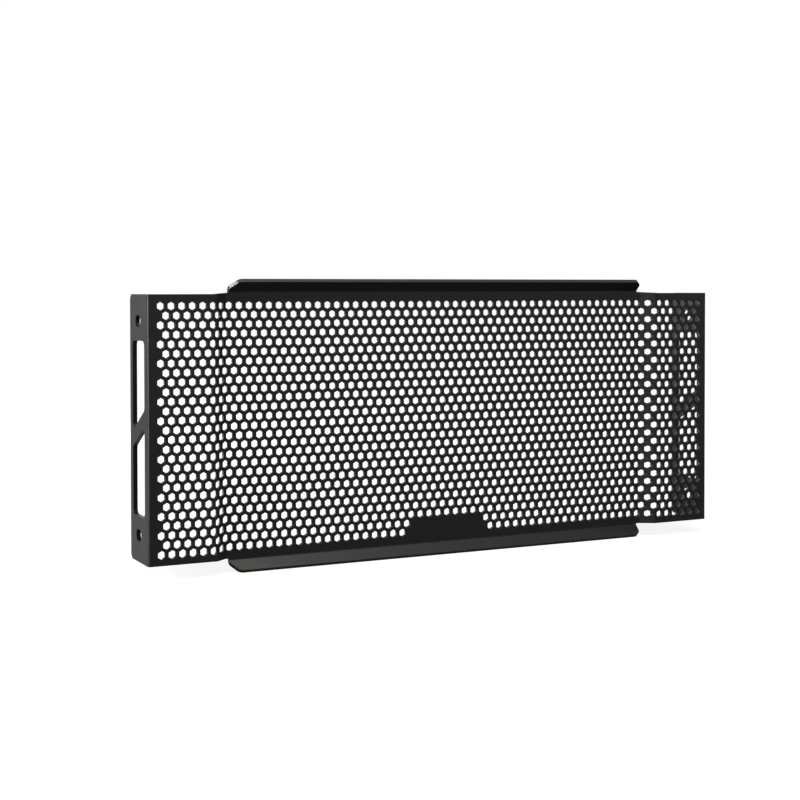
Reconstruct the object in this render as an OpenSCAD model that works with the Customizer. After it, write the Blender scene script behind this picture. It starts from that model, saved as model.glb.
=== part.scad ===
// Radiator guard for a motorcycle: one sheet of aluminium, perforated with hexagons and folded.
// X runs across the motorcycle, Y from the front wheel back to the radiator, and Z upwards.
// The origin is midway between the four mounting slots.

/* [Sheet] */
// Thickness of the sheet
sheet = 2.5; // [1.5:0.1:3]
// Overall width, over the outsides of the two flanges
guard_width = 374; // [300:1:450]
// Height of the panel, without the flares
panel_height = 147.4; // [140:0.1:180]

/* [Wings] */
// Width of a wing, from the outside of its flange to the middle of the step
wing_width = 42.5; // [30:0.5:60]
// How far the wings stand in front of the middle panel
wing_offset = 8.2; // [4:0.1:10]
// Slope of the step between a wing and the middle panel
step_angle = 45; // [35:1:60]
// Inside radius of the step's two bends
step_bend = 1.5; // [0.5:0.1:2.5]

/* [Flanges] */
// How far the slots lie behind the middle panel
mount_depth = 8.4; // [6:0.1:12]
// How far a flange reaches behind the slots
flange_reach = 15.2; // [12:0.1:30]
// Outside radius of the fold between a wing and its flange
flange_fold = 1.4; // [0.8:0.1:4]
// Radius of a flange's rear corners
flange_corner = 3.5; // [0.5:0.1:10]

/* [Windows] */
// Width of the frame in front of the windows
front_strip = 6.4; // [4.5:0.1:8]
// Width of the frame behind the windows
rear_strip = 4.9; // [3:0.1:7]
// Height of the frame above the upper window, and below the lower one
end_strip = 25.5; // [22:0.1:40]
// Width of the sloping strut between the two windows
strut_width = 7.6; // [4:0.1:16]
// Slope of the strut, down towards the rear
strut_angle = 30; // [5:1:45]
// Radius of the windows' corners
window_corner = 3; // [0.5:0.1:4]

/* [Slots] */
// Width of a slot, for an M6 screw
slot_width = 6.6; // [4.5:0.1:8]
// Length of a slot, from end to end
slot_length = 9.4; // [8.5:0.1:14]
// Distance from a slot's middle to the nearer end of its flange
slot_inset = 14.7; // [10:0.1:16]

/* [Flares] */
// How far a flare stops short of the middle of the step
flare_inset = 6.5; // [6.5:0.1:40]
// Lean of a flare towards the front
flare_angle = 45; // [20:1:60]
// Inside radius of the bend between the panel and a flare
flare_bend = 3.5; // [1:0.1:6]
// Length of the flat part of a flare
flare_length = 6; // [5:0.1:12]
// How far a cut corner runs along the flare
corner_run = 4.8; // [1:0.1:12]
// How far a cut corner comes down the flare
corner_drop = 6.4; // [1:0.1:7]

/* [Perforation] */
// Rows of holes. The real sheet has 27: fewer and larger ones keep the pattern and the open area
hole_rows = 14; // [12:1:16]
// Distance from the middles of the first and the last row to the panel's edge
row_margin = 7; // [6.5:0.1:12]
// Least distance from the middle of a hole to the outside of a flange
side_margin = 8; // [8:0.1:20]
// Width of a hole across its flats, as a share of the distance between holes
open_share = 0.7; // [0.5:0.01:0.8]
// Half the width of the bare patch at the bottom edge
patch_reach = 28; // [0:0.5:80]
// Number of rows that the bare patch takes up
patch_rows = 1; // [0:1:4]

/* [Hidden] */
// How far a cutting shape runs past the surface that it cuts
past = 1;
// Least inside radius of a tight fold
least_bend = 0.3;
// Angle between the points of a bend or a rounded corner
bend_step = 22.5;
// Middle of the sheet's thickness, along Y
panel_y = -mount_depth;
wing_y = panel_y - wing_offset;
front_y = wing_y - sheet / 2;
rear_y = flange_reach;
// Middle of a flange's thickness, and of the step, along X
flange_x = guard_width / 2 - sheet / 2;
step_x = guard_width / 2 - wing_width;
step_run = wing_offset / tan(step_angle);
flare_width = 2 * (step_x - flare_inset);
row_gap = (panel_height - 2 * row_margin) / (hole_rows - 1);
pitch = row_gap / sin(60);
hole_width = open_share * pitch;
// Holes in the first row: every second row has one fewer
hole_count = floor((guard_width - 2 * side_margin) / pitch) + 1;
slot_z = panel_height / 2 - slot_inset;
window_z = panel_height / 2 - end_strip;
window_front = front_y + front_strip;
window_rear = rear_y - rear_strip;

function unit(v) = v / norm(v);
function left_of(v) = [-v[1], v[0]];
function reverse(list) = [for (i = [len(list) - 1 : -1 : 0]) list[i]];
function heading(v) = atan2(v[1], v[0]);
function wrap(a) = a > 180 ? a - 360 : a < -180 ? a + 360 : a;

// Points round the corner b, between a and c, on the line that lies to the left of the path by side
function corner(a, b, c, radius, side) = let (
    from = heading(b - a),
    turn = wrap(heading(c - b) - from),
    hand = sign(turn),
    centre = b - unit(b - a) * radius * tan(abs(turn) / 2) + hand * radius * left_of(unit(b - a)),
    steps = max(1, ceil(abs(turn) / bend_step)))
    [for (i = [0 : steps]) let (h = from + turn * i / steps)
        centre + (side - hand * radius) * left_of([cos(h), sin(h)])];

// One face of a folded strip, whose middle follows the path, with a radius for each of its bends
function strip_face(path, radii, side) = let (last = len(path) - 1) concat(
    [path[0] + side * left_of(unit(path[1] - path[0]))],
    [for (i = [1 : last - 1]) each corner(path[i - 1], path[i], path[i + 1], radii[i - 1], side)],
    [path[last] + side * left_of(unit(path[last] - path[last - 1]))]);

// A closed outline, with a radius for each bend of the left face and of the right face
function strip(path, left_radii, right_radii) = concat(
    strip_face(path, left_radii, sheet / 2),
    reverse(strip_face(path, right_radii, -sheet / 2)));

// A closed outline with every corner rounded
function rounded(path, radius) = let (n = len(path))
    [for (i = [0 : n - 1]) each corner(path[(i + n - 1) % n], path[i], path[(i + 1) % n], radius, 0)];

// Wings, steps, middle panel and flanges, as seen from above
module folded_sheet() {
    half = [
        [flange_x, rear_y],
        [flange_x, wing_y],
        [step_x + step_run / 2, wing_y],
        [step_x - step_run / 2, panel_y]];
    step = step_bend + sheet / 2;
    outside = [flange_fold - sheet / 2, step, step];
    inside = [max(least_bend, flange_fold - sheet) + sheet / 2, step, step];
    other_half = [for (p = reverse(half)) [-p[0], p[1]]];
    linear_extrude(panel_height, center = true)
        polygon(strip(concat(half, other_half),
            concat(outside, reverse(outside)), concat(inside, reverse(inside))));
}

// The upper flare, bent forwards along the panel's edge
module flare() {
    bend = flare_bend + sheet / 2;
    base = panel_height / 2;
    elbow = base + bend * tan(flare_angle / 2);
    flat_from = bend * tan(flare_angle / 2);
    lean = [-sin(flare_angle), cos(flare_angle)];
    path = [[panel_y, base], [panel_y, elbow], [panel_y, elbow] + (flat_from + flare_length) * lean];
    tip = path[2];
    difference() {
        rotate([90, 0, 90])
            linear_extrude(flare_width, center = true) polygon(strip(path, [bend], [bend]));
        for (end = [0, 1]) mirror([end, 0, 0])
            translate([flare_width / 2, tip[0], tip[1]]) rotate([90 + flare_angle, 0, 0])
            linear_extrude(2 * sheet, center = true)
            polygon([[-corner_run, 0], [-corner_run, past], [past, past], [past, -corner_drop],
                [0, -corner_drop]]);
    }
}

// The upper window, as seen along X: the lower one is the same, turned half round
module window() {
    middle = (window_front + window_rear) / 2;
    half_gap = strut_width / 2 / cos(strut_angle);
    fall = (window_rear - window_front) / 2 * tan(strut_angle);
    translate([middle, 0]) polygon(rounded([
        [window_front - middle, window_z],
        [window_front - middle, half_gap + fall],
        [window_rear - middle, half_gap - fall],
        [window_rear - middle, window_z]], window_corner));
}

module slot() {
    run = slot_length - slot_width;
    square([run, slot_width], center = true);
    for (end = [-1, 1]) translate([end * run / 2, 0]) circle(d = slot_width, $fn = 48);
}

// What is cut out of both flanges, as seen along X
module flange_cuts() {
    middle = (window_front + window_rear) / 2;
    window();
    translate([middle, 0]) rotate(180) translate([-middle, 0]) window();
    for (end = [-1, 1]) translate([0, end * slot_z]) slot();
    for (end = [0, 1]) mirror([0, end]) translate([rear_y, panel_height / 2]) difference() {
        translate([-flange_corner, -flange_corner]) square(flange_corner + past);
        translate([-flange_corner, -flange_corner]) circle(flange_corner, $fn = 48);
    }
}

// The hexagons, as seen from the front, with the bare patch left out
module holes() {
    for (row = [0 : hole_rows - 1]) {
        last = hole_count - 1 - row % 2;
        patch = row < patch_rows ? patch_reach - row * pitch / 2 : -1;
        for (i = [0 : last]) {
            x = (i - last / 2) * pitch;
            if (abs(x) > patch)
                translate([x, row * row_gap + row_margin - panel_height / 2])
                rotate(30) circle(d = hole_width / cos(30), $fn = 6);
        }
    }
}

module guard() {
    color([0.13, 0.13, 0.14]) difference() {
        union() {
            folded_sheet();
            for (end = [0, 1]) mirror([0, 0, end]) flare();
        }
        for (side = [0, 1]) mirror([side, 0, 0])
            translate([guard_width / 2 - sheet - past, 0, 0])
            rotate([90, 0, 90]) linear_extrude(sheet + 2 * past) flange_cuts();
        translate([0, panel_y + sheet, 0])
            rotate([90, 0, 0]) linear_extrude(wing_offset + 2 * sheet) holes();
    }
}

guard();
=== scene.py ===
"""Looks of the motorcycle radiator guard: one folded sheet with 27 rows of hexagonal holes.

Everything is in metres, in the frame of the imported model: X runs across the motorcycle, Y from the
front wheel back to the radiator, and Z upwards. The origin is midway between the mounting slots.
"""

import math
from collections import namedtuple

import bmesh
import bpy
from bpy.props import FloatProperty, FloatVectorProperty, IntProperty, PointerProperty
from mathutils import Matrix, Vector


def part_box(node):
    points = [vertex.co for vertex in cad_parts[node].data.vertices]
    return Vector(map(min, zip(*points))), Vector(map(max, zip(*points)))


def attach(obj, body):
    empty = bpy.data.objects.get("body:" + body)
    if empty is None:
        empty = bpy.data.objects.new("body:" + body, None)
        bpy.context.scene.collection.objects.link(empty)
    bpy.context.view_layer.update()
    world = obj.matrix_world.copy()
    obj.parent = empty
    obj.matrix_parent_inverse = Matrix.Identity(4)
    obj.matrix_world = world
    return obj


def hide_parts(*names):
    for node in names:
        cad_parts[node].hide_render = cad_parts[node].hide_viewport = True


bl_info = {
    "name": "Radiator guard",
    "version": (1, 0, 0),
    "blender": (4, 5, 0),
    "location": "3D View > Sidebar > Guard",
    "description": "Makes a folded and perforated radiator guard, its powder coat and its studio",
    "category": "Object",
}

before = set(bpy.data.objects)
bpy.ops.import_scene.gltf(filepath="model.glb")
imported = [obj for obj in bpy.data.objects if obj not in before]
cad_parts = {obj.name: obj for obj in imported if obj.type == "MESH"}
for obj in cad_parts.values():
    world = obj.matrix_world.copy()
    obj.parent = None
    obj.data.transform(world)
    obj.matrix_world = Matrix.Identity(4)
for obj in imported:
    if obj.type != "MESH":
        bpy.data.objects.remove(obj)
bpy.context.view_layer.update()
LOW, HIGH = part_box("guard")

# How far a cutting shape runs past the surface that it cuts
PAST = 0.001
# Height of what is cut off along the wings' edges
EDGE_WASTE = 0.01
# Length of the edges on both sides of a flare's corner
CORNER_SIDE = 0.02
# Angle of one facet of a bend
BEND_STEP = math.radians(7.5)
# Angle of one facet of a rounded corner, and the same in degrees
CORNER_DEGREES = 10
CORNER_STEP = math.radians(CORNER_DEGREES)
# Points round one end of a slot
SLOT_POINTS = 25
# Faces nearly in one plane become one, and edges sharper than the second angle are rounded
FLAT_ANGLE = math.radians(0.5)
SHARP_ANGLE = math.radians(50)
# Nearer to a step's middle than this, in pitches, a hole's cutter reaches through both depths
STEP_REACH = 1.25

# How far the coat's colour and roughness vary to both sides of their mean
COLOUR_SPREAD = 0.4
ROUGHNESS_SPREAD = 0.06
# Fineness of the coat's larger clouds, in waves per metre
CLOUD_SCALE = 35.0
# Between these lie most values of a noise texture
NOISE_LOW, NOISE_HIGH = 0.3, 0.7

# Half the floor's length, and its grey
FLOOR_REACH = 6
FLOOR_GREY = 0.25
# What the camera sees of the floor: a paler grey near the guard, and white further out
FLOOR_NEAR, FLOOR_FAR = 0.3, 0.9
FLOOR_GLOW = 0.86
# How far before and behind the origin the floor turns from dark to white, as the coat sees it
MIRROR_BLEND = 0.05

# Area lamps that the camera doesn't see. A lamp's power is the studio's setting of the same name
Lamp = namedtuple("Lamp", "name place aim width height spread colour")
LAMPS = (
    Lamp("overhead", (0.03, -0.47, 1.3), (0.03, -0.47, 0), 0.6, 0.34, 180, (1, 0.99, 0.89)),
    Lamp("left", (-0.93, -0.125, 0.06), (-0.187, 0, 0), 0.11, 0.45, 180, (0.98, 1, 1.03)),
    Lamp("corner", (-0.4855, 0.126, 0.4085), (-0.1355, -0.0138, 0.0785), 0.03, 0.03, 4, (1, 1, 1)),
    Lamp("rear", (-0.09, 0.9, 0.1), (0.187, 0, 0), 0.18, 0.5, 180, (1, 1, 1)),
    Lamp("front", (0.9, -1.6, 0.7), (0, 0, 0), 1.2, 1.0, 180, (1, 1, 1)),
)

# The camera was fitted to the places of the holes. Its turn is in degrees
CAMERA_PLACE = (-0.41840, -0.78802, 0.07622)
CAMERA_TURN = (88.8249, 0.0621, -26.4466)
CAMERA_LENS = 66.37
CAMERA_SENSOR = 36
CAMERA_SHIFT = -0.1006


class GuardSheet(bpy.types.PropertyGroup):
    """Sizes of the folded sheet."""

    sheet: FloatProperty(name="Sheet", description="Thickness of the sheet",
                         default=0.0025, min=0.001, unit="LENGTH")
    width: FloatProperty(name="Width", description="Overall width, outside the flanges",
                         default=HIGH.x - LOW.x, min=0.2, unit="LENGTH")
    height: FloatProperty(name="Panel height", description="Height without the flares",
                          default=0.1474, min=0.1, unit="LENGTH")
    panel_rise: FloatProperty(name="Panel rise", default=0.0007, min=0, unit="LENGTH",
                              description="How far the panel's edges stand past the wings'")
    wing_width: FloatProperty(name="Wing width", description="From a flange's outside to the step",
                              default=0.0425, min=0.02, unit="LENGTH")
    wing_offset: FloatProperty(name="Wing offset", description="How far the wings stand in front",
                               default=0.0082, min=0.001, unit="LENGTH")
    panel_y: FloatProperty(name="Panel depth", description="Middle of the panel's sheet, along Y",
                           default=-0.0084, unit="LENGTH")
    step_bend: FloatProperty(name="Step bend", description="Inside radius of the step's bends",
                             default=0.0015, min=0.0005, unit="LENGTH")
    flange_fold: FloatProperty(name="Flange fold", description="Outside radius of a flange's fold",
                               default=0.0014, min=0.0005, unit="LENGTH")
    fold_inside: FloatProperty(name="Inside of the fold", description="Inside radius of that fold",
                               default=0.0003, min=0.0001, unit="LENGTH")
    rear_y: FloatProperty(name="Flange rear edge", description="Rear edge of the flanges, along Y",
                          default=HIGH.y, unit="LENGTH")
    edge_round: FloatProperty(name="Edge rounding", description="Radius of the sheet's outer edges",
                              default=0.0004, min=0.0001, unit="LENGTH")


class GuardCuts(bpy.types.PropertyGroup):
    """Sizes of the windows, slots and corners of the flanges."""

    front_strip: FloatProperty(name="Front strip", description="Frame in front of the windows",
                               default=0.0064, unit="LENGTH")
    rear_strip: FloatProperty(name="Rear strip", description="Frame behind the windows",
                              default=0.0049, unit="LENGTH")
    window_z: FloatProperty(name="Window end", description="Height of a window's outer end",
                            default=0.0482, unit="LENGTH")
    strut_width: FloatProperty(name="Strut", description="Width of the sloping strut",
                               default=0.0076, unit="LENGTH")
    strut_angle: FloatProperty(name="Strut slope", description="Slope of the strut",
                               default=math.radians(30), subtype="ANGLE")
    window_corner: FloatProperty(name="Window corner", description="Radius of the windows' corners",
                                 default=0.003, unit="LENGTH")
    slot_width: FloatProperty(name="Slot width", description="Height of a slot",
                              default=0.0066, unit="LENGTH")
    slot_length: FloatProperty(name="Slot length", description="Length of a slot along Y",
                               default=0.0094, unit="LENGTH")
    slot_z: FloatProperty(name="Slot height", description="Height of the slots' middles",
                          default=0.059, unit="LENGTH")
    flange_corner: FloatProperty(name="Flange corner", description="Radius of the rear corners",
                                 default=0.0035, unit="LENGTH")


class GuardFlares(bpy.types.PropertyGroup):
    """Sizes of the upper and lower flares."""

    reach: FloatProperty(name="Half width", description="From the middle to a flare's end",
                         default=0.138, unit="LENGTH")
    angle: FloatProperty(name="Lean", description="Lean of the flares towards the front",
                         default=math.radians(45), subtype="ANGLE")
    bend: FloatProperty(name="Bend", description="Inside radius of the flares' bend",
                        default=0.001, unit="LENGTH")
    elbow: FloatProperty(name="Elbow", description="How far the bend lies past the wings' edges",
                         default=0.00197, unit="LENGTH")
    length: FloatProperty(name="Length", description="Length of a flare, from its bend to its tip",
                          default=0.00797, unit="LENGTH")
    corner_run: FloatProperty(name="Corner run", description="Cut corner, along the flare",
                              default=0.0048, unit="LENGTH")
    corner_drop: FloatProperty(name="Corner drop", description="Cut corner, down the flare",
                               default=0.0058, unit="LENGTH")
    corner_round: FloatProperty(name="Corner rounding", description="Radius at the cut's upper end",
                                default=0.005, unit="LENGTH")
    corner_end: FloatProperty(name="Corner end", description="Radius at the cut's lower end",
                              default=0.0015, unit="LENGTH")
    right_corner: FloatProperty(name="Right corners", description="Radius of the right corners",
                                default=0.004, unit="LENGTH")


class GuardHoles(bpy.types.PropertyGroup):
    """Sizes of the perforation."""

    rows: IntProperty(name="Rows", description="Rows of holes", default=27, min=3)
    columns: IntProperty(name="Columns", description="Holes in a longer row", default=61, min=3)
    pitch: FloatProperty(name="Pitch", description="Distance between holes",
                         default=0.006, unit="LENGTH")
    across: FloatProperty(name="Hole width", description="Width of a hole across its flats",
                          default=0.0041, unit="LENGTH")
    across_shift: FloatProperty(name="Shift to the right", description="Middle of the rows along X",
                                default=0.0005, unit="LENGTH")
    drop: FloatProperty(name="Drop", description="How far the rows lie below the panel's middle",
                        default=0.00027, unit="LENGTH")
    chamfer: FloatProperty(name="Chamfer", description="Softened rim of a hole",
                           default=0.0002, unit="LENGTH")
    patch_rows: IntProperty(name="Patch rows", description="Rows that the bare patch takes up",
                            default=2, min=0)
    patch_reach: FloatProperty(name="Patch half width", description="Half of the patch, lowest row",
                               default=0.025, unit="LENGTH")


class GuardCoat(bpy.types.PropertyGroup):
    """Finish of the black powder coat."""

    colour: FloatVectorProperty(name="Colour", description="Colour of the coat", subtype="COLOR",
                                size=3, min=0, max=1, default=(0.0042, 0.0042, 0.0046))
    roughness: FloatProperty(name="Roughness", description="Mean roughness", default=0.42)
    gloss: FloatProperty(name="Gloss", description="Specular level", default=0.22)
    grain: FloatProperty(name="Grain", description="Size of the coat's grain",
                         default=0.0009, unit="LENGTH")
    relief: FloatProperty(name="Relief", description="Height of the grain",
                          default=0.000022, unit="LENGTH")


class GuardStudio(bpy.types.PropertyGroup):
    """Floor, lamps and surroundings."""

    floor_z: FloatProperty(name="Floor", description="Height of the floor",
                           default=LOW.z, unit="LENGTH")
    overhead: FloatProperty(name="Overhead lamp", description="Power of the lamp above",
                            default=16.4, unit="POWER")
    left: FloatProperty(name="Left lamp", description="Power of the lamp at the left",
                        default=13.6, unit="POWER")
    corner: FloatProperty(name="Corner lamp", description="Power of the small lamp at the left",
                          default=0.006, unit="POWER")
    rear: FloatProperty(name="Rear lamp", description="Power of the lamp behind the guard",
                        default=2.8, unit="POWER")
    front: FloatProperty(name="Front lamp", description="Power of the lamp in front, at the right",
                         default=4.2, unit="POWER")
    sky: FloatProperty(name="Surroundings", description="Light of the surroundings", default=0.1)
    floor_mirror: FloatProperty(name="Mirrored floor", default=0.42,
                                description="How white the coat sees the floor behind the guard")


def left_of(v):
    """The vector turned left by a right angle."""
    return Vector((-v.y, v.x))


def turn_between(a, b):
    """Signed angle from direction a to direction b, anticlockwise."""
    return math.atan2(a.x * b.y - a.y * b.x, a.dot(b))


def corner(a, b, c, radius, side, step):
    """Points round the corner b, on the line that lies to the left of the path by side."""
    into, out = (b - a).normalized(), (c - b).normalized()
    turn = turn_between(into, out)
    hand = math.copysign(1, turn)
    centre = b - into * radius * math.tan(abs(turn) / 2) + hand * radius * left_of(into)
    steps = max(1, math.ceil(abs(turn) / step - 1e-6))
    points = []
    for i in range(steps + 1):
        heading = Matrix.Rotation(turn * i / steps, 2) @ into
        points.append(centre + (side - hand * radius) * left_of(heading))
    return points


def strip(path, left_radii, right_radii, sheet):
    """Closed outline of a strip, whose middle follows the path. Each face has its own radii."""
    path = [Vector(p) for p in path]
    faces = []
    for side, radii in ((sheet / 2, left_radii), (-sheet / 2, right_radii)):
        face = [path[0] + side * left_of((path[1] - path[0]).normalized())]
        for before, at, after, radius in zip(path, path[1:], path[2:], radii):
            face += corner(before, at, after, radius, side, BEND_STEP)
        face.append(path[-1] + side * left_of((path[-1] - path[-2]).normalized()))
        faces.append(face)
    return faces[0] + faces[1][::-1]


def rounded(path, radius):
    """A closed outline with every corner rounded."""
    path = [Vector(p) for p in path]
    points = []
    for i, at in enumerate(path):
        points += corner(path[i - 1], at, path[(i + 1) % len(path)], radius, 0, CORNER_STEP)
    return points


def add_prism(bm, outline, place):
    """Adds a closed prism: place(point, end) says where the outline's points lie at end 0 or 1."""
    ends = [[bm.verts.new(place(p, end)) for p in outline] for end in (0, 1)]
    bm.faces.new(ends[0])
    bm.faces.new(ends[1][::-1])
    for i in range(len(outline)):
        j = (i + 1) % len(outline)
        bm.faces.new((ends[0][i], ends[1][i], ends[1][j], ends[0][j]))


def new_object(name, bm):
    """An object in the scene, with what was built in bm as its mesh."""
    bmesh.ops.recalc_face_normals(bm, faces=bm.faces)
    mesh = bpy.data.meshes.new(name)
    bm.to_mesh(mesh)
    bm.free()
    thing = bpy.data.objects.new(name, mesh)
    bpy.context.scene.collection.objects.link(thing)
    return thing


def bake(thing):
    """Turns what a piece's modifiers make into its plain mesh."""
    graph = bpy.context.evaluated_depsgraph_get()
    mesh = bpy.data.meshes.new_from_object(thing.evaluated_get(graph), depsgraph=graph)
    thing.modifiers.clear()
    thing.data = mesh


def combine(thing, tool, operation):
    """Joins a tool's solid to a piece, or cuts it away, and removes the tool."""
    modifier = thing.modifiers.new(operation, "BOOLEAN")
    modifier.operation = operation
    modifier.solver = "MANIFOLD"
    modifier.object = tool
    bake(thing)
    bpy.data.objects.remove(tool)


def folded_sheet(size, flares):
    """Wings, steps, middle panel and flanges, as one prism of the plan's outline."""
    flange_x = size.width / 2 - size.sheet / 2
    step_x = size.width / 2 - size.wing_width
    wing_y = size.panel_y - size.wing_offset
    half = [(flange_x, size.rear_y), (flange_x, wing_y),
            (step_x + size.wing_offset / 2, wing_y), (step_x - size.wing_offset / 2, size.panel_y)]
    step = size.step_bend + size.sheet / 2
    outside = [size.flange_fold - size.sheet / 2, step, step]
    inside = [size.fold_inside + size.sheet / 2, step, step]
    outline = strip(half + [(-x, y) for x, y in half[::-1]],
                    outside + outside[::-1], inside + inside[::-1], size.sheet)
    bm = bmesh.new()
    tall = size.height + 2 * size.panel_rise
    add_prism(bm, outline, lambda p, end: (p.x, p.y, (end - 0.5) * tall))
    guard = new_object("guard_sheet", bm)

    # The edges slope down through the steps, from beside a flare to the wing
    edge = size.height / 2
    slope = [Vector((flares.reach, edge)), Vector((flares.reach, edge + size.panel_rise)),
             Vector((step_x + size.wing_offset / 2 + PAST, edge)),
             Vector((size.width / 2 + PAST, edge)),
             Vector((size.width / 2 + PAST, edge + EDGE_WASTE))]
    slope += [Vector((-p.x, p.y)) for p in slope[::-1]]
    bm = bmesh.new()
    for up in (-1, 1):
        add_prism(bm, slope, lambda p, end: (p.x, (2 * end - 1) * size.rear_y * 2, up * p.y))
    combine(guard, new_object("edge_slopes", bm), "DIFFERENCE")
    return guard


def flared_panel(size, flares):
    """The middle panel once more, from the tip of one flare to the tip of the other."""
    bend = flares.bend + size.sheet / 2
    elbow = size.height / 2 + flares.elbow
    lean = Vector((-math.sin(flares.angle), math.cos(flares.angle)))
    tip = Vector((size.panel_y, elbow)) + flares.length * lean
    path = [(tip.x, -tip.y), (size.panel_y, -elbow), (size.panel_y, elbow), tuple(tip)]
    bm = bmesh.new()
    add_prism(bm, strip(path, [bend, bend], [bend, bend], size.sheet),
              lambda p, end: ((2 * end - 1) * flares.reach, p.x, p.y))
    return new_object("flared_panel", bm), tip, lean


def add_flange_cuts(bm, size, cuts, side):
    """Windows, slots and rear corners of one flange. Their outlines lie in Y and Z."""
    front = size.panel_y - size.wing_offset - size.sheet / 2 + cuts.front_strip
    rear = size.rear_y - cuts.rear_strip
    middle = (front + rear) / 2
    half_gap = cuts.strut_width / 2 / math.cos(cuts.strut_angle)
    fall = (rear - front) / 2 * math.tan(cuts.strut_angle)
    window = rounded([(front, cuts.window_z), (front, half_gap + fall),
                      (rear, half_gap - fall), (rear, cuts.window_z)], cuts.window_corner)
    outlines = [window, [Vector((2 * middle - p.x, -p.y)) for p in window]]
    run = (cuts.slot_length - cuts.slot_width) / 2
    for end in (-1, 1):
        slot = []
        for way in (1, -1):
            for i in range(SLOT_POINTS):
                a = math.radians(-90 + 180 * i / (SLOT_POINTS - 1)) + (0 if way > 0 else math.pi)
                slot.append(Vector((way * run + cuts.slot_width / 2 * math.cos(a),
                                    end * cuts.slot_z + cuts.slot_width / 2 * math.sin(a))))
        outlines.append(slot)
        r = cuts.flange_corner
        arc = [Vector((size.rear_y - r + r * math.sin(math.radians(a)),
                       size.height / 2 - r + r * math.cos(math.radians(a))))
               for a in range(0, 91, CORNER_DEGREES)]
        arc += [Vector((size.rear_y + PAST, arc[-1].y)),
                Vector((size.rear_y + PAST, size.height / 2 + PAST)),
                Vector((arc[0].x, size.height / 2 + PAST))]
        outlines.append([Vector((p.x, end * p.y)) for p in arc])
    inner = size.width / 2 - size.sheet - PAST
    depth = size.sheet + 2 * PAST
    for outline in outlines:
        add_prism(bm, outline, lambda p, end: (side * (inner + end * depth), p.x, p.y))


def add_flare_cuts(bm, size, flares, tip, lean, side, up):
    """A cut left or a rounded right corner of a flare. Its outline lies in the flat's own plane."""
    if side < 0:
        path = [Vector(p) for p in ((-CORNER_SIDE, 0), (-flares.corner_run, 0),
                                    (0, -flares.corner_drop), (0, -CORNER_SIDE))]
        edge = (corner(*path[:3], flares.corner_round, 0, CORNER_STEP)
                + corner(*path[1:], flares.corner_end, 0, CORNER_STEP))
    else:
        path = [Vector(p) for p in ((-CORNER_SIDE, 0), (0, 0), (0, -CORNER_SIDE))]
        edge = corner(*path, flares.right_corner, 0, CORNER_STEP)
    edge += [Vector((PAST, edge[-1].y)), Vector((PAST, PAST)), Vector((edge[0].x, PAST))]
    across = Vector((-lean.y, lean.x))

    def place(p, end):
        at = tip + p.y * lean + (2 * end - 1) * size.sheet * across
        return (side * (flares.reach + p.x), at.x, up * at.y)

    add_prism(bm, edge, place)


class Tree:
    """Adds nodes to a tree and links them in one call."""

    def __init__(self, tree):
        self.nodes, self.links = tree.nodes, tree.links

    def add(self, kind, settings=None, **inputs):
        node = self.nodes.new(kind)
        for name, value in (settings or {}).items():
            setattr(node, name, value)
        for name, value in inputs.items():
            self.feed(node.inputs[name.replace("_", " ")], value)
        return node

    def feed(self, socket, value):
        if isinstance(value, bpy.types.NodeSocket):
            self.links.new(value, socket)
        else:
            socket.default_value = value

    def maths(self, operation, *values, whole=False):
        node = self.nodes.new("FunctionNodeIntegerMath" if whole else "ShaderNodeMath")
        node.operation = operation
        for socket, value in zip(node.inputs, values):
            self.feed(socket, value)
        return node.outputs[0]


def hole_cutter(t, radius, half_depths, rim):
    """A hexagonal bar along Y. Its rings widen towards both ends where there is a chamfer."""
    depths = [t.maths("MULTIPLY", d, -1) for d in half_depths] + list(half_depths[::-1])
    rings = len(depths)
    line = t.add("GeometryNodeMeshLine", Count=rings, Offset=(0, 1, 0))
    index = t.add("GeometryNodeInputIndex").outputs[0]
    along = t.add("GeometryNodeIndexSwitch", {"data_type": "FLOAT"}, Index=index)
    wide = t.add("GeometryNodeIndexSwitch", {"data_type": "FLOAT"}, Index=index)
    for switch, values in ((along, depths), (wide, rim)):
        while len(switch.index_switch_items) < rings:
            switch.index_switch_items.new()
        for socket, value in zip(list(switch.inputs)[1:rings + 1], values):
            t.feed(socket, value)
    place = t.add("ShaderNodeCombineXYZ", Y=along.outputs[0])
    moved = t.add("GeometryNodeSetPosition", Geometry=line.outputs[0], Position=place.outputs[0])
    curve = t.add("GeometryNodeMeshToCurve", Mesh=moved.outputs[0])
    hexagon = t.add("GeometryNodeCurvePrimitiveCircle", Resolution=6, Radius=radius)
    bar = t.add("GeometryNodeCurveToMesh", Curve=curve.outputs[0], Profile_Curve=hexagon.outputs[0],
                Scale=wide.outputs[0], Fill_Caps=True)
    return bar.outputs[0]


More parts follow.
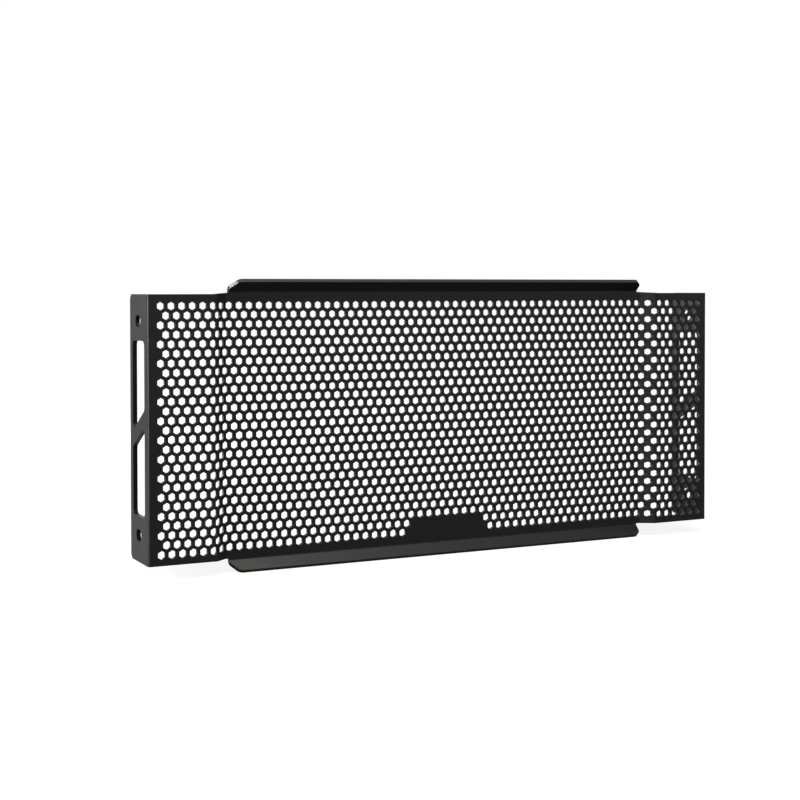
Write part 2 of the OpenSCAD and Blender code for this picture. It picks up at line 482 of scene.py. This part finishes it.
def hole_points(t, given):
    """A point in the middle of each hole, without the bare patch."""
    m = t.maths
    count = m("MULTIPLY", given["Rows"], given["Columns"], whole=True)
    points = t.add("GeometryNodePoints", Count=count)
    index = t.add("GeometryNodeInputIndex").outputs[0]
    row = m("DIVIDE_FLOOR", index, given["Columns"], whole=True)
    column = m("FLOORED_MODULO", index, given["Columns"], whole=True)
    last_column = m("SUBTRACT", given["Columns"], 1, whole=True)
    last_row = m("SUBTRACT", given["Rows"], 1, whole=True)

    # Every second row is set over by half a pitch, and has one hole fewer
    odd = m("FLOORED_MODULO", row, 2, whole=True)
    past_end = m("MULTIPLY", odd, m("COMPARE", column, last_column, 0.5))
    from_middle = m("SUBTRACT", column, m("MULTIPLY", last_column, 0.5))
    x = m("MULTIPLY", m("ADD", from_middle, m("MULTIPLY", odd, 0.5)), given["Pitch"])
    row_gap = m("MULTIPLY", given["Pitch"], math.sin(math.radians(60)))
    z = m("MULTIPLY", m("SUBTRACT", m("MULTIPLY", last_row, 0.5), row), row_gap)
    away = m("ABSOLUTE", x)

    # The bare patch narrows by half a pitch with each row
    above = m("SUBTRACT", last_row, row, whole=True)
    reach = m("SUBTRACT", given["Patch Reach"],
              m("MULTIPLY", m("MULTIPLY", above, 0.5), given["Pitch"]))
    in_patch = m("MULTIPLY", m("LESS_THAN", above, given["Patch Rows"]),
                 m("LESS_THAN", away, reach))

    # A hole lies at the depth of the panel or the wing, and on a step halfway between them
    in_panel = m("LESS_THAN", away, given["Step Start"])
    in_wing = m("GREATER_THAN", away, given["Step End"])
    on_flat = m("ADD", in_panel, in_wing)
    step_depth = m("MULTIPLY", m("ADD", given["Panel Depth"], given["Wing Depth"]), 0.5)
    y = m("ADD", m("MULTIPLY", on_flat,
                   m("ADD", m("MULTIPLY", in_panel, given["Panel Depth"]),
                     m("MULTIPLY", in_wing, given["Wing Depth"]))),
          m("MULTIPLY", m("SUBTRACT", 1, on_flat), step_depth))
    place = t.add("ShaderNodeCombineXYZ", X=x, Y=y, Z=z)
    placed = t.add("GeometryNodeSetPosition", Geometry=points.outputs[0], Position=place.outputs[0])
    kept = t.add("GeometryNodeDeleteGeometry", {"domain": "POINT"}, Geometry=placed.outputs[0],
                 Selection=m("ADD", in_patch, past_end))
    return kept.outputs[0]


def hole_bars(t, given, points):
    """A bar on each point: with softened rims on the flats, and a longer plain one on the steps."""
    m = t.maths
    where = t.add("GeometryNodeInputPosition").outputs[0]
    away = m("ABSOLUTE", t.add("ShaderNodeSeparateXYZ", Vector=where).outputs["X"])
    flat = t.add("GeometryNodeSeparateGeometry", {"domain": "POINT"}, Geometry=points,
                 Selection=m("ADD", m("LESS_THAN", away, given["Step Start"]),
                             m("GREATER_THAN", away, given["Step End"])))

    # A hexagon's corners lie further out than its flats
    radius = m("MULTIPLY", given["Hole Width"], 0.5 / math.cos(math.radians(30)))
    half = m("MULTIPLY", given["Thickness"], 0.5)

    # The rim's cone starts a little above the surface, so that the cut is clean
    lead = m("MULTIPLY", given["Chamfer"], 0.5)
    mouth = m("ADD", 1, m("DIVIDE", m("ADD", given["Chamfer"], lead),
                          m("MULTIPLY", given["Hole Width"], 0.5)))
    softened = hole_cutter(t, radius,
                           (m("ADD", half, PAST), m("ADD", half, lead),
                            m("SUBTRACT", half, given["Chamfer"])),
                           [mouth, mouth, 1.0, 1.0, mouth, mouth])
    span = m("ADD", m("ABSOLUTE", m("SUBTRACT", given["Panel Depth"], given["Wing Depth"])),
             given["Thickness"])

    # Six rings at even distances
    evenly = (span, m("MULTIPLY", span, 0.6), m("MULTIPLY", span, 0.2))
    plain = hole_cutter(t, radius, evenly, [1.0] * 6)

    # Turned so that two of a hexagon's corners point up and down
    upright = t.add("FunctionNodeEulerToRotation", Euler=(0, math.radians(30), 0)).outputs[0]
    cutters = t.add("GeometryNodeJoinGeometry")
    for spots, bar in ((flat.outputs[0], softened), (flat.outputs[1], plain)):
        rows = t.add("GeometryNodeInstanceOnPoints", Points=spots, Instance=bar, Rotation=upright)
        t.links.new(rows.outputs[0], cutters.inputs[0])
    solid = t.add("GeometryNodeRealizeInstances", Geometry=cutters.outputs[0])
    return t.add("GeometryNodeTransform", Geometry=solid.outputs[0],
                 Translation=given["Shift"]).outputs[0]


def perforation_tree():
    """Points for the rows of holes, a hexagonal bar on each, and the sheet that they cut."""
    tree = bpy.data.node_groups.new("hexagonal_perforation", "GeometryNodeTree")
    face = tree.interface
    sockets = [("Sheet", "Geometry"), ("Rows", "Int"), ("Columns", "Int"), ("Pitch", "Float"),
               ("Hole Width", "Float"), ("Chamfer", "Float"), ("Thickness", "Float"),
               ("Panel Depth", "Float"), ("Wing Depth", "Float"), ("Step Start", "Float"),
               ("Step End", "Float"), ("Patch Rows", "Int"), ("Patch Reach", "Float"),
               ("Shift", "Vector"), ("Coat", "Material")]
    for name, kind in sockets:
        face.new_socket(name, in_out="INPUT", socket_type="NodeSocket" + kind)
    face.new_socket("Perforated Sheet", in_out="OUTPUT", socket_type="NodeSocketGeometry")
    t = Tree(tree)
    given = t.add("NodeGroupInput").outputs
    bars = hole_bars(t, given, hole_points(t, given))
    cut = t.add("GeometryNodeMeshBoolean", {"operation": "DIFFERENCE", "solver": "MANIFOLD"})
    t.links.new(given["Sheet"], cut.inputs["Mesh 1"])
    t.links.new(bars, cut.inputs["Mesh 2"])
    real = t.add("GeometryNodeRealizeInstances", Geometry=cut.outputs[0])
    coated = t.add("GeometryNodeSetMaterial", Geometry=real.outputs[0], Material=given["Coat"])
    t.add("NodeGroupOutput", Perforated_Sheet=coated.outputs[0])
    return tree


def black_powder_coat(coat):
    """Satin black powder coat: a fine orange-peel grain, with slightly uneven gloss and colour."""
    material = bpy.data.materials.new("black_powder_coat")
    material.use_nodes = True
    material.node_tree.nodes.clear()
    t = Tree(material.node_tree)
    where = t.add("ShaderNodeTexCoord").outputs["Object"]
    grain = t.add("ShaderNodeTexNoise", Vector=where, Scale=1 / coat.grain, Detail=3.0,
                  Roughness=0.6).outputs["Fac"]
    cloud = t.add("ShaderNodeTexNoise", Vector=where, Scale=CLOUD_SCALE,
                  Detail=2.0).outputs["Fac"]

    # A mix node has a pair of inputs for each kind of value: 6 and 7 are the two colours
    colour = t.add("ShaderNodeMix", {"data_type": "RGBA"})
    t.feed(colour.inputs["Factor"], grain)
    for socket, share in ((6, 1 - COLOUR_SPREAD), (7, 1 + COLOUR_SPREAD)):
        colour.inputs[socket].default_value = (*(c * share for c in coat.colour), 1)
    uneven = t.maths("ADD", t.maths("MULTIPLY", grain, 0.5), t.maths("MULTIPLY", cloud, 0.5))
    roughness = t.add("ShaderNodeMapRange", Value=uneven, From_Min=NOISE_LOW, From_Max=NOISE_HIGH,
                      To_Min=coat.roughness - ROUGHNESS_SPREAD,
                      To_Max=coat.roughness + ROUGHNESS_SPREAD)
    bump = t.add("ShaderNodeBump", Height=grain, Distance=coat.relief, Strength=1.0)
    shader = t.add("ShaderNodeBsdfPrincipled", Base_Color=colour.outputs[2],
                   Roughness=roughness.outputs[0], Normal=bump.outputs[0])
    shader.inputs["Specular IOR Level"].default_value = coat.gloss
    t.add("ShaderNodeOutputMaterial", Surface=shader.outputs[0])
    return material


class GUARD_OT_sheet(bpy.types.Operator):
    """Folds the sheet, cuts its windows, slots and corners, and perforates it."""

    bl_idname = "guard.sheet"
    bl_label = "Perforated sheet"

    def execute(self, context):
        scene = context.scene
        size, cuts, flares = scene.guard_size, scene.guard_cuts, scene.guard_flares
        holes = scene.guard_holes
        guard = folded_sheet(size, flares)
        panel, tip, lean = flared_panel(size, flares)
        combine(guard, panel, "UNION")
        bm = bmesh.new()
        for side in (-1, 1):
            add_flange_cuts(bm, size, cuts, side)
            for up in (-1, 1):
                add_flare_cuts(bm, size, flares, tip, lean, side, up)
        combine(guard, new_object("flange_and_flare_cuts", bm), "DIFFERENCE")
        self.soften(guard, size)
        self.perforate(guard, size, holes, black_powder_coat(scene.guard_coat))
        self.check(guard)
        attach(guard, "root")
        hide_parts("guard")
        return {"FINISHED"}

    def soften(self, guard, size):
        """Rounds the sheet's outer edges by a fraction of a millimetre."""
        bm = bmesh.new()
        bm.from_mesh(guard.data)
        bmesh.ops.remove_doubles(bm, verts=bm.verts, dist=1e-7)
        bmesh.ops.dissolve_limit(bm, angle_limit=FLAT_ANGLE, verts=bm.verts, edges=bm.edges)
        bm.to_mesh(guard.data)
        bm.free()
        bevel = guard.modifiers.new("soft_edges", "BEVEL")
        bevel.width = size.edge_round
        bevel.segments = 2
        bevel.limit_method = "ANGLE"
        bevel.angle_limit = SHARP_ANGLE
        bake(guard)

    def perforate(self, guard, size, holes, coat):
        """Cuts the holes with a Geometry Nodes modifier, and keeps its result as the mesh."""
        tree = perforation_tree()
        modifier = guard.modifiers.new("perforation", "NODES")
        modifier.node_group = tree
        step_x = size.width / 2 - size.wing_width
        step_reach = STEP_REACH * holes.pitch
        values = {
            "Rows": holes.rows, "Columns": holes.columns, "Pitch": holes.pitch,
            "Hole Width": holes.across, "Chamfer": holes.chamfer, "Thickness": size.sheet,
            "Panel Depth": size.panel_y, "Wing Depth": size.panel_y - size.wing_offset,
            "Step Start": step_x - step_reach, "Step End": step_x + step_reach,
            "Patch Rows": holes.patch_rows, "Patch Reach": holes.patch_reach,
            "Shift": (holes.across_shift, 0, -holes.drop), "Coat": coat,
        }
        for socket in tree.interface.items_tree:
            if socket.name in values:
                modifier[socket.identifier] = values[socket.name]
        bake(guard)

    def check(self, guard):
        """Stops the script if the sheet isn't one closed solid."""
        bm = bmesh.new()
        bm.from_mesh(guard.data)
        open_edges = sum(1 for e in bm.edges if len(e.link_faces) != 2)
        triangles = sum(len(f.verts) - 2 for f in bm.faces)
        print("guard_sheet:", len(bm.faces), "faces,", triangles, "triangles,", open_edges,
              "open edges,", round(bm.calc_volume() * 1e9), "mm3")
        bm.free()
        if open_edges:
            raise RuntimeError("the perforated sheet has open edges")


class GUARD_OT_stage(bpy.types.Operator):
    """Sets the pale floor, the soft lamps, the surroundings and the camera."""

    bl_idname = "guard.stage"
    bl_label = "Stage"

    def execute(self, context):
        studio = context.scene.guard_studio
        self.floor(studio)
        self.surroundings(studio)
        self.lamps(studio)
        self.camera()
        context.scene.view_settings.view_transform = "Standard"
        return {"FINISHED"}

    def floor(self, studio):
        """A pale floor that takes the guard's shadow, and is white to the camera."""
        bm = bmesh.new()
        bmesh.ops.create_grid(bm, x_segments=1, y_segments=1, size=FLOOR_REACH,
                              matrix=Matrix.Translation((0, 0, studio.floor_z)))
        floor = new_object("studio_floor", bm)
        material = bpy.data.materials.new("pale_floor")
        material.use_nodes = True
        material.node_tree.nodes.clear()
        t = Tree(material.node_tree)
        pale = t.add("ShaderNodeBsdfDiffuse", Color=(FLOOR_GREY, FLOOR_GREY, FLOOR_GREY, 1))
        ray = t.add("ShaderNodeLightPath").outputs
        where = t.add("ShaderNodeTexCoord").outputs["Object"]
        away = t.add("ShaderNodeVectorMath", {"operation": "LENGTH"})
        t.feed(away.inputs[0], where)
        white = t.add("ShaderNodeMapRange", Value=away.outputs["Value"], From_Min=FLOOR_NEAR,
                      From_Max=FLOOR_FAR, To_Min=FLOOR_GLOW, To_Max=1.0)
        depth = t.add("ShaderNodeSeparateXYZ", Vector=where).outputs["Y"]
        behind = t.add("ShaderNodeMapRange", Value=depth, From_Min=-MIRROR_BLEND,
                       From_Max=MIRROR_BLEND, To_Max=studio.floor_mirror)
        mirrored = t.maths("MULTIPLY", behind.outputs[0],
                           t.maths("MAXIMUM", ray["Is Glossy Ray"], ray["Is Transmission Ray"]))
        seen = t.maths("MULTIPLY", ray["Is Camera Ray"], white.outputs[0])
        glow = t.add("ShaderNodeEmission", Color=(1, 1, 1, 1),
                     Strength=t.maths("ADD", mirrored, seen))
        both = t.add("ShaderNodeAddShader")
        t.links.new(pale.outputs[0], both.inputs[0])
        t.links.new(glow.outputs[0], both.inputs[1])
        t.add("ShaderNodeOutputMaterial", Surface=both.outputs[0])
        floor.data.materials.append(material)

    def surroundings(self, studio):
        """White to the camera and to what mirrors it, and dim as a light."""
        world = bpy.data.worlds.new("white_studio")
        world.use_nodes = True
        world.node_tree.nodes.clear()
        t = Tree(world.node_tree)
        ray = t.add("ShaderNodeLightPath").outputs
        seen = t.maths("MAXIMUM", ray["Is Camera Ray"],
                       t.maths("MAXIMUM", ray["Is Glossy Ray"], ray["Is Transmission Ray"]))
        strength = t.add("ShaderNodeMapRange", Value=seen, To_Min=studio.sky, To_Max=1.0)
        sky = t.add("ShaderNodeBackground", Color=(1, 1, 1, 1), Strength=strength.outputs[0])
        t.add("ShaderNodeOutputWorld", Surface=sky.outputs[0])
        bpy.context.scene.world = world

    def lamps(self, studio):
        """Soft lamps, each turned from its place to its aim."""
        for lamp in LAMPS:
            light = bpy.data.lights.new(lamp.name + "_softbox", "AREA")
            light.shape = "RECTANGLE"
            light.size, light.size_y = lamp.width, lamp.height
            light.spread = math.radians(lamp.spread)
            light.color = lamp.colour
            light.energy = getattr(studio, lamp.name)
            softbox = bpy.data.objects.new(light.name, light)
            bpy.context.scene.collection.objects.link(softbox)
            softbox.location = lamp.place
            softbox.visible_camera = False
            aim = Vector(lamp.aim) - Vector(lamp.place)
            softbox.rotation_euler = aim.to_track_quat("-Z", "Y").to_euler()

    def camera(self):
        """The photo's camera."""
        data = bpy.data.cameras.new("camera")
        data.lens = CAMERA_LENS
        data.sensor_width = CAMERA_SENSOR
        data.shift_y = CAMERA_SHIFT
        camera = bpy.data.objects.new("camera", data)
        bpy.context.scene.collection.objects.link(camera)
        camera.location = CAMERA_PLACE
        camera.rotation_euler = [math.radians(a) for a in CAMERA_TURN]
        bpy.context.scene.camera = camera


class GUARD_PT_panel(bpy.types.Panel):
    """Sizes, finish and steps of the radiator guard."""

    bl_idname = "GUARD_PT_panel"
    bl_label = "Radiator guard"
    bl_space_type = "VIEW_3D"
    bl_region_type = "UI"
    bl_category = "Guard"

    def draw(self, context):
        for group in GROUPS:
            box = self.layout.box()
            values = getattr(context.scene, group)
            for name in values.__annotations__:
                box.prop(values, name)
        self.layout.operator(GUARD_OT_sheet.bl_idname)
        self.layout.operator(GUARD_OT_stage.bl_idname)


GROUPS = {"guard_size": GuardSheet, "guard_cuts": GuardCuts, "guard_flares": GuardFlares,
          "guard_holes": GuardHoles, "guard_coat": GuardCoat, "guard_studio": GuardStudio}
CLASSES = (*GROUPS.values(), GUARD_OT_sheet, GUARD_OT_stage, GUARD_PT_panel)


def register():
    for one in CLASSES:
        bpy.utils.register_class(one)
    for name, group in GROUPS.items():
        setattr(bpy.types.Scene, name, PointerProperty(type=group))


def unregister():
    for name in GROUPS:
        delattr(bpy.types.Scene, name)
    for one in reversed(CLASSES):
        bpy.utils.unregister_class(one)


def main():
    register()
    bpy.ops.guard.sheet()
    bpy.ops.guard.stage()


if __name__ == "__main__":
    main()
